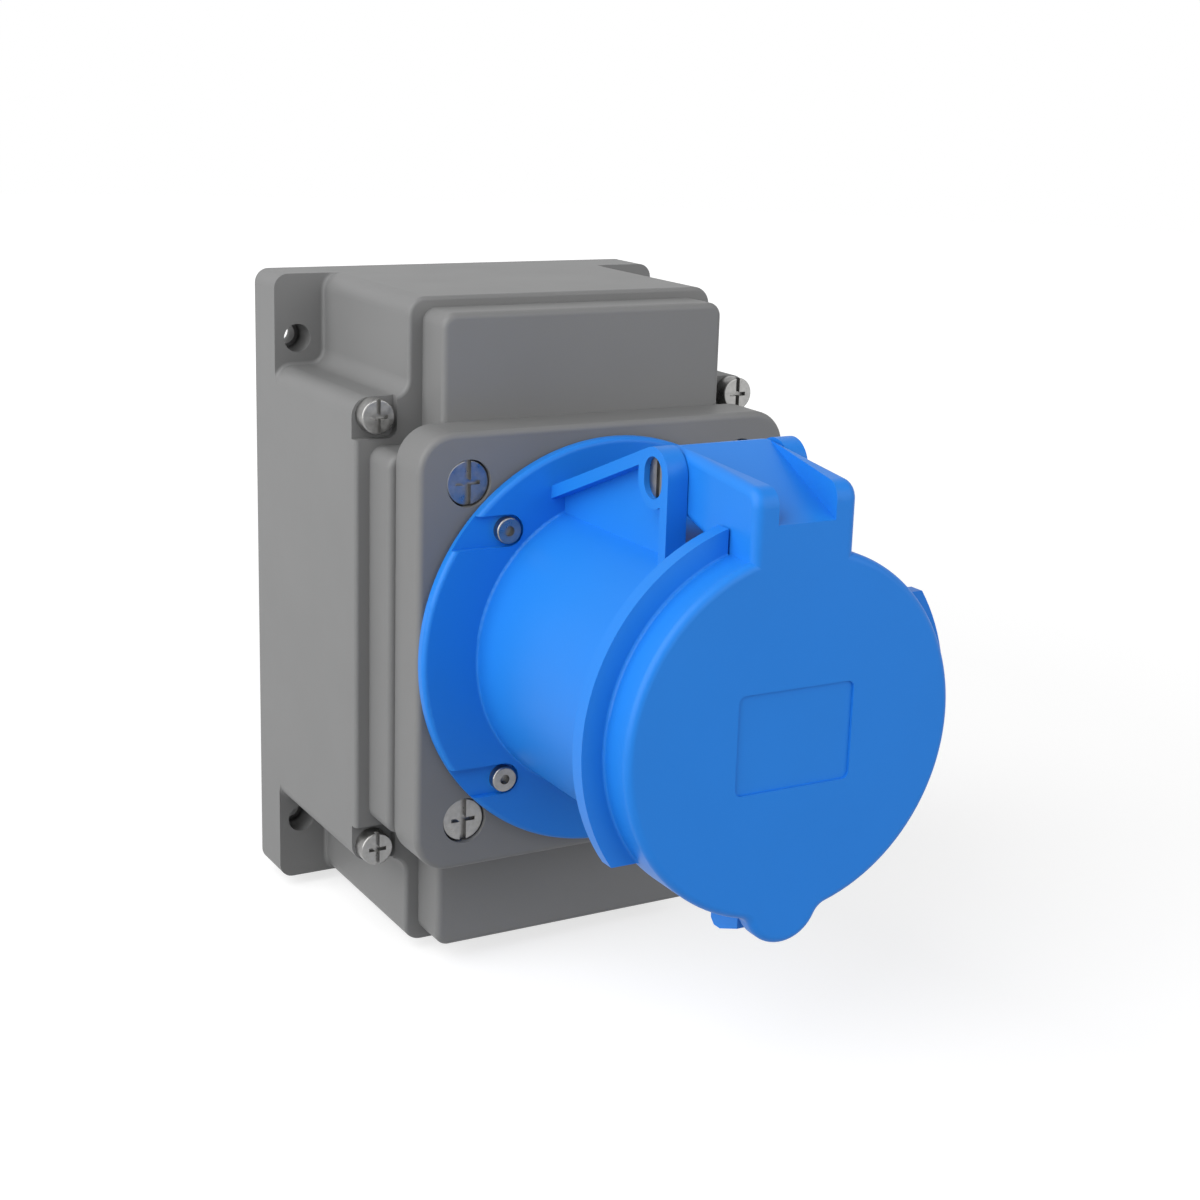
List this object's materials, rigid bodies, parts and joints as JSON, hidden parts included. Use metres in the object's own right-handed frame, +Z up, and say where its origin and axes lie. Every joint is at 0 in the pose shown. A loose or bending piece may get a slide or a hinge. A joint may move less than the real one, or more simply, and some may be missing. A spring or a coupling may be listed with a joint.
{
  "type": "industrial wall socket",
  "caption": "Surface-mounting power socket: grey box with corner ears, square plate, blue round barrel and a hinged, sprung blue lid.",
  "frame": {"origin": "middle of the rear face of the box, in the plane of the wall", "axes": "+Y into the wall, -Y is the front, +Z up, +X to the right seen from the front"},
  "size_m": [0.135, 0.21, 0.2032],
  "materials": {
    "grey_plastic": "fine satin moulded grey",
    "blue_plastic": "smooth satin moulded blue",
    "screw_steel": "zinc-plated",
    "seal_rubber": "soft black",
    "insulator": "dark grey thermoset",
    "brass": "turned"
  },
  "bodies": {
    "housing": {"back_box": "grey_plastic", "box_seal": "seal_rubber", "box_inserts": "brass", "entry_plug": "grey_plastic", "entry_seal": "seal_rubber", "front_cover": "grey_plastic", "cover_screws": "screw_steel", "socket_plate": "grey_plastic", "plate_seal": "seal_rubber", "plate_screws": "screw_steel", "plate_nuts": "screw_steel", "socket_housing": "blue_plastic", "flange_seal": "seal_rubber", "flange_screws": "screw_steel", "contact_carrier": "insulator", "carrier_screws": "screw_steel", "terminal_block": "insulator", "terminal_screws": "screw_steel", "hinge_pin": "screw_steel", "lid_spring": "screw_steel", "live_contact": "brass", "neutral_contact": "brass", "earth_contact": "brass", "pilot_contact": "brass"},
    "lid": {"lid": "blue_plastic", "lid_seal": "seal_rubber"}
  },
  "joints": [
    {"name": "lid_hinge", "type": "hinge", "parent": "housing", "child": "lid", "pos_m": [0, -0.1708, 0.0628], "axis": [-1, 0, 0], "range_deg": [0, 110], "stiffness_Nm_per_rad": 0.1, "springref_deg": -57.3}
  ]
}
